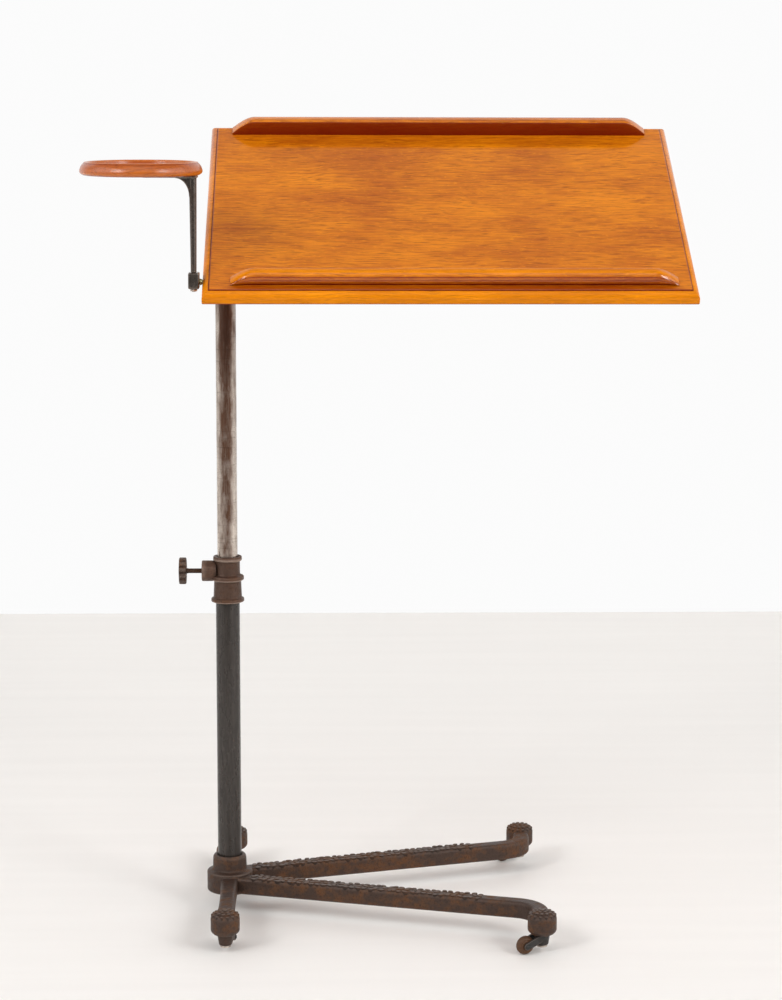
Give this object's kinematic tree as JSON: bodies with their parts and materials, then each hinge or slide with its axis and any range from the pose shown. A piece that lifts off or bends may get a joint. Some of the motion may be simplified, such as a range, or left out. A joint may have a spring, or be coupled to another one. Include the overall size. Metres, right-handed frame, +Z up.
{
  "type": "adjustable reading stand",
  "caption": "Reading stand on castors: tilting oak board with front and rear ledges on a telescopic column, with a swinging round side tray and a splayed cast-iron base.",
  "frame": {"origin": "on the floor, at the middle of the stand's outline in plan", "axes": "+Z up; +X from the column along the board's width, the reader's right; +Y away from the reader, up the slope of the board"},
  "size_m": [0.7556, 0.4521, 1.0422],
  "materials": {
    "oak": "varnished golden-brown oak",
    "tray_oak": "varnished reddish-brown turned wood",
    "cast_iron": "brown-black cast iron with worn japanning and rust",
    "tube_paint": "dark grey paint, satin",
    "pole_steel": "worn bare steel with brown patina",
    "hardware_steel": "plain darkened steel",
    "castor_brown": "rust-brown castor wheel"
  },
  "bodies": {
    "base": {"base_casting": "cast_iron", "lower_tube": "tube_paint", "clamp_collar": "cast_iron", "castor_pintle_front_left": "hardware_steel", "castor_pintle_front_right": "hardware_steel", "castor_pintle_rear_left": "hardware_steel", "castor_pintle_rear_right": "hardware_steel"},
    "height_screw": {"height_screw": "cast_iron"},
    "slide": {"inner_pole": "pole_steel"},
    "head": {"head_casting": "cast_iron"},
    "swivel_screw": {"swivel_screw": "hardware_steel"},
    "tilt_screw": {"tilt_screw": "hardware_steel"},
    "desk": {"bar_collar": "hardware_steel", "board_bracket_left": "cast_iron", "board_bracket_right": "cast_iron", "bracket_pin_left": "hardware_steel", "bracket_pin_right": "hardware_steel", "bracket_screw_left_front": "hardware_steel", "bracket_screw_left_rear": "hardware_steel", "bracket_screw_right_front": "hardware_steel", "bracket_screw_right_rear": "hardware_steel", "front_ledge": "oak", "front_ledge_screw_left": "hardware_steel", "front_ledge_screw_middle": "hardware_steel", "front_ledge_screw_right": "hardware_steel", "reading_board": "oak", "rear_ledge": "oak", "rear_ledge_screw_left": "hardware_steel", "rear_ledge_screw_middle": "hardware_steel", "rear_ledge_screw_right": "hardware_steel", "tilt_bar": "hardware_steel", "tray_stud": "hardware_steel"},
    "tray_pivot": {"pivot_block": "cast_iron"},
    "tray": {"tray_arm": "cast_iron", "arm_nut": "hardware_steel", "tray": "tray_oak", "tray_screw_inner": "hardware_steel", "tray_screw_outer": "hardware_steel"},
    "castor_front_left": {"castor_horn_front_left": "cast_iron", "castor_axle_front_left": "hardware_steel"},
    "wheel_front_left": {"castor_wheel_front_left": "castor_brown"},
    "castor_front_right": {"castor_horn_front_right": "cast_iron", "castor_axle_front_right": "hardware_steel"},
    "wheel_front_right": {"castor_wheel_front_right": "castor_brown"},
    "castor_rear_left": {"castor_horn_rear_left": "cast_iron", "castor_axle_rear_left": "hardware_steel"},
    "wheel_rear_left": {"castor_wheel_rear_left": "castor_brown"},
    "castor_rear_right": {"castor_horn_rear_right": "cast_iron", "castor_axle_rear_right": "hardware_steel"},
    "wheel_rear_right": {"castor_wheel_rear_right": "castor_brown"}
  },
  "joints": [
    {"name": "height_slide", "type": "slide", "parent": "base", "child": "slide", "axis": [0, 0, 1], "range_m": [-0.24, 0.08]},
    {"name": "head_swivel", "type": "hinge", "parent": "slide", "child": "head", "pos_m": [-0.20763, 0.01326, 0.8788], "axis": [0, 0, 1], "continuous": true},
    {"name": "board_tilt", "type": "hinge", "parent": "head", "child": "desk", "pos_m": [-0.20763, 0.01326, 0.8788], "axis": [1, 0, 0], "range_deg": [-70, 42]},
    {"name": "tray_level", "type": "hinge", "parent": "desk", "child": "tray_pivot", "pos_m": [-0.23362, -0.14266, 0.84828], "axis": [1, 0, 0], "range_deg": [-42, 70]},
    {"name": "tray_swing", "type": "hinge", "parent": "tray_pivot", "child": "tray", "pos_m": [-0.24038, -0.15166, 0.84828], "axis": [0, 0, 1], "range_deg": [0, 90]},
    {"name": "height_screw_turn", "type": "hinge", "parent": "base", "child": "height_screw", "pos_m": [-0.24122, 0.01326, 0.457], "axis": [-1, 0, 0], "range_deg": [0, 360]},
    {"name": "swivel_screw_turn", "type": "hinge", "parent": "head", "child": "swivel_screw", "pos_m": [-0.20763, 0.03226, 0.8368], "axis": [0, 1, 0], "range_deg": [0, 360]},
    {"name": "tilt_screw_turn", "type": "hinge", "parent": "head", "child": "tilt_screw", "pos_m": [-0.17162, 0.01326, 0.8648], "axis": [0, 0, -1], "range_deg": [0, 360]},
    {"name": "castor_swivel_front_left", "type": "hinge", "parent": "base", "child": "castor_front_left", "pos_m": [-0.20763, -0.16974, 0.01], "axis": [0, 0, 1], "continuous": true},
    {"name": "castor_roll_front_left", "type": "hinge", "parent": "castor_front_left", "child": "wheel_front_left", "pos_m": [-0.20422, -0.14548, 0.012], "axis": [-0.9903, 0.1392, 0], "continuous": true},
    {"name": "castor_swivel_front_right", "type": "hinge", "parent": "base", "child": "castor_front_right", "pos_m": [0.19437, -0.17574, 0.01], "axis": [0, 0, 1], "continuous": true},
    {"name": "castor_roll_front_right", "type": "hinge", "parent": "castor_front_right", "child": "wheel_front_right", "pos_m": [0.17199, -0.18571, 0.012], "axis": [0.4067, -0.9135, 0], "continuous": true},
    {"name": "castor_swivel_rear_left", "type": "hinge", "parent": "base", "child": "castor_rear_left", "pos_m": [-0.20763, 0.19626, 0.01], "axis": [0, 0, 1], "continuous": true},
    {"name": "castor_roll_rear_left", "type": "hinge", "parent": "castor_rear_left", "child": "wheel_rear_left", "pos_m": [-0.22402, 0.21446, 0.012], "axis": [-0.7431, -0.6691, 0], "continuous": true},
    {"name": "castor_swivel_rear_right", "type": "hinge", "parent": "base", "child": "castor_rear_right", "pos_m": [0.19437, 0.20226, 0.01], "axis": [0, 0, 1], "continuous": true},
    {"name": "castor_roll_rear_right", "type": "hinge", "parent": "castor_rear_right", "child": "wheel_rear_right", "pos_m": [0.16994, 0.20397, 0.012], "axis": [-0.0698, -0.9976, 0], "continuous": true}
  ]
}
